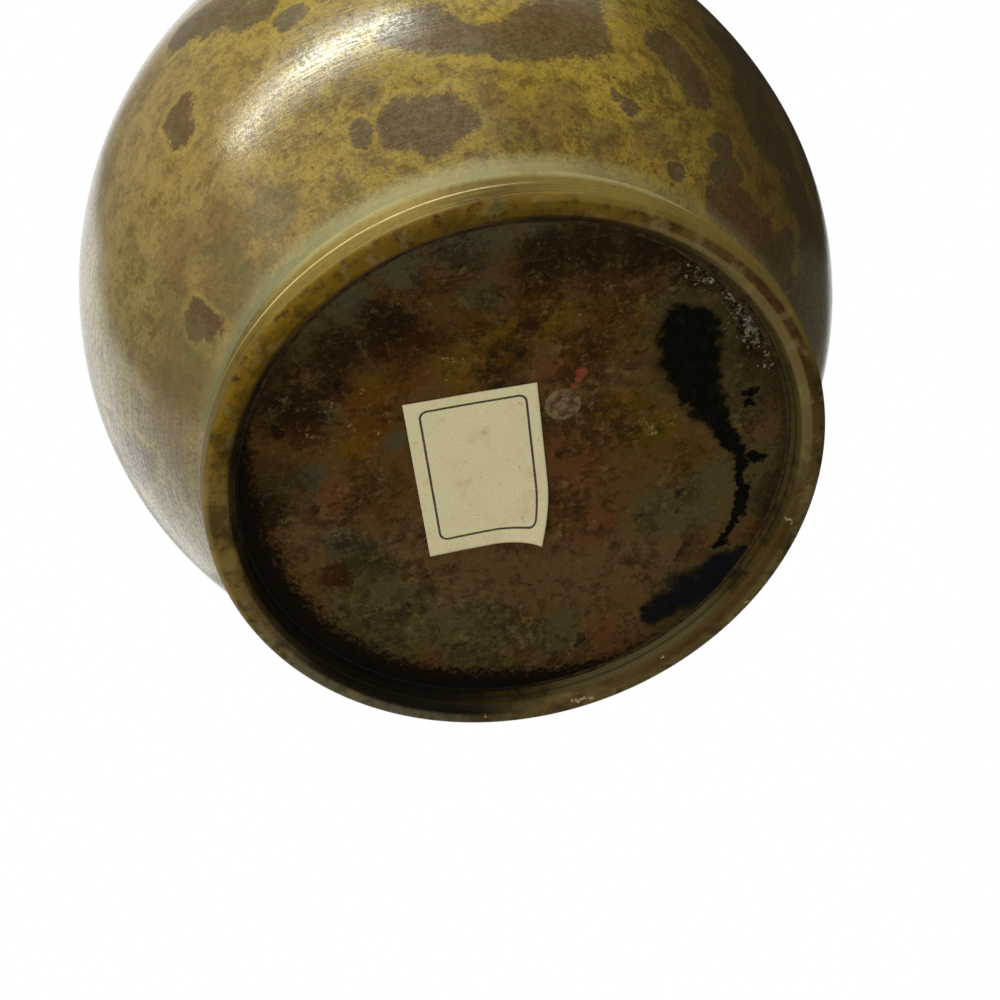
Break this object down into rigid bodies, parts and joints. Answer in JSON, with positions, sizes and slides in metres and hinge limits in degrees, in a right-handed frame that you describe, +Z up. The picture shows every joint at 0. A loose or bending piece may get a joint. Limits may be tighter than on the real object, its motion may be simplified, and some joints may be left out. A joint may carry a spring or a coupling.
{
  "type": "bud vase",
  "caption": "Cast bronze bud vase: a globe on a low turned foot with an inset base plate, a slender neck and a small flared mouth.",
  "frame": {"origin": "centre of the plane that the foot rim rests on", "axes": "+Z up along the vase's axis, towards the mouth"},
  "size_m": [0.11, 0.11, 0.2],
  "materials": {
    "patinated_bronze": "mottled olive and brown patina, polished",
    "foot_bronze": "turned, worn olive patina",
    "base_bronze": "dark uneven patina",
    "plug_metal": "dull",
    "solder": "dark oxidised soft solder",
    "label_paper": "aged matt paper"
  },
  "bodies": {
    "root": {"globe_shell": "patinated_bronze", "neck_tube": "patinated_bronze", "mouth_rim": "patinated_bronze", "foot_ring": "foot_bronze", "base_plate": "base_bronze", "core_plug": "plug_metal", "plate_solder_bead": "solder", "neck_braze_bead": "solder", "paper_label": "label_paper"}
  },
  "joints": []
}
